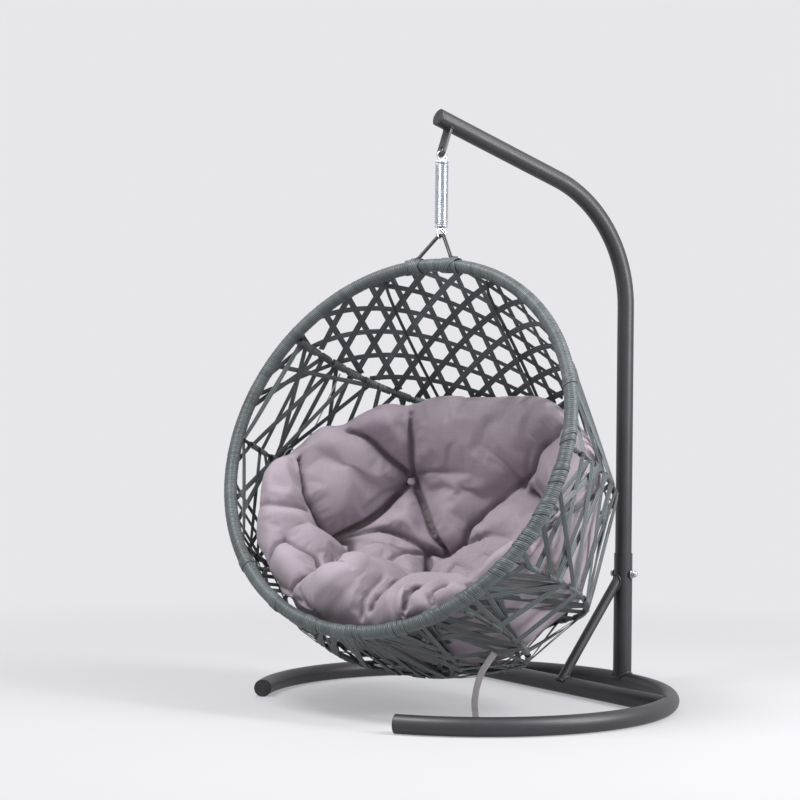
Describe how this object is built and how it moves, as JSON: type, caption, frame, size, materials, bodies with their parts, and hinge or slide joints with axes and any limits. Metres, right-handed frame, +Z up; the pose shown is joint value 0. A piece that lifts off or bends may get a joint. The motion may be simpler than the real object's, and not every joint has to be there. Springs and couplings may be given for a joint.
{
  "type": "hanging egg chair",
  "caption": "Garden chair with a round woven basket and a tufted cushion, hung by a coil spring from a bent-tube stand with a C-shaped base ring.",
  "frame": {"origin": "centre of the base ring, on the ground", "axes": "+Z up; the base ring's open side faces -Y, the post stands at +Y and the arm reaches forward over the origin; +X is to the right of someone who stands in front and looks at the chair's back"},
  "size_m": [0.9255, 0.9322, 1.2814],
  "materials": {
    "powder_coat": "satin charcoal powder coat",
    "black_plastic": "black moulded plastic",
    "zinc": "bright zinc plate",
    "rattan": "flat grey-green synthetic rattan with fine lengthwise grooves",
    "rod_black": "dark paint",
    "cushion_cloth": "mauve-grey woven polyester",
    "tie_tape": "light grey tape and cord"
  },
  "bodies": {
    "stand": {"base_ring": "powder_coat", "ring_cap_left": "black_plastic", "ring_cap_right": "black_plastic", "cross_tube": "powder_coat", "lower_post": "powder_coat", "brace_tube": "powder_coat", "upper_arm": "powder_coat", "arm_tip_cap": "black_plastic", "spring_lug": "powder_coat", "lock_bolt": "zinc", "saddle_washers": "black_plastic", "dome_nut": "zinc"},
    "upper_hook": {"spring_upper_hook": "zinc"},
    "coil": {"spring_coil": "zinc"},
    "lower_hook": {"spring_lower_hook": "zinc"},
    "basket": {"hanger_loop": "powder_coat", "foot_binding_left": "rattan", "foot_binding_right": "rattan", "rim_tube": "rod_black", "rim_wrap": "rattan", "hoop_upper": "rod_black", "hoop_middle": "rod_black", "hoop_lower": "rod_black", "hoop_underside": "rod_black", "hoop_front": "rod_black", "rib_left": "rod_black", "rib_right": "rod_black", "weave_roof": "rattan", "weave_upper_wall": "rattan", "weave_lower_wall": "rattan", "weave_underside": "rattan", "weave_bottom": "rattan", "weave_front_lip": "rattan", "cushion": "cushion_cloth", "cushion_button": "cushion_cloth", "side_tie": "tie_tape", "bottom_tie": "tie_tape"}
  },
  "joints": [
    {"name": "swing_sideways", "type": "hinge", "parent": "stand", "child": "upper_hook", "pos_m": [0, -0.07475, 1.19354], "axis": [0, 1, 0], "range_deg": [-8, 8]},
    {"name": "spring_bounce", "type": "slide", "parent": "upper_hook", "child": "coil", "axis": [0, 0, -1], "range_m": [0, 0.035], "stiffness_N_per_m": 4600, "springref_m": -0.0495, "deforming": ["spring_coil"]},
    {"name": "swivel", "type": "hinge", "parent": "coil", "child": "lower_hook", "pos_m": [0, -0.07475, 1.00794], "axis": [0, 0, 1], "range_deg": [-84, 30]},
    {"name": "swing_fore_aft", "type": "hinge", "parent": "lower_hook", "child": "basket", "pos_m": [0, -0.07475, 1.00794], "axis": [-0.9118, -0.4107, 0], "range_deg": [-8, 8]}
  ]
}
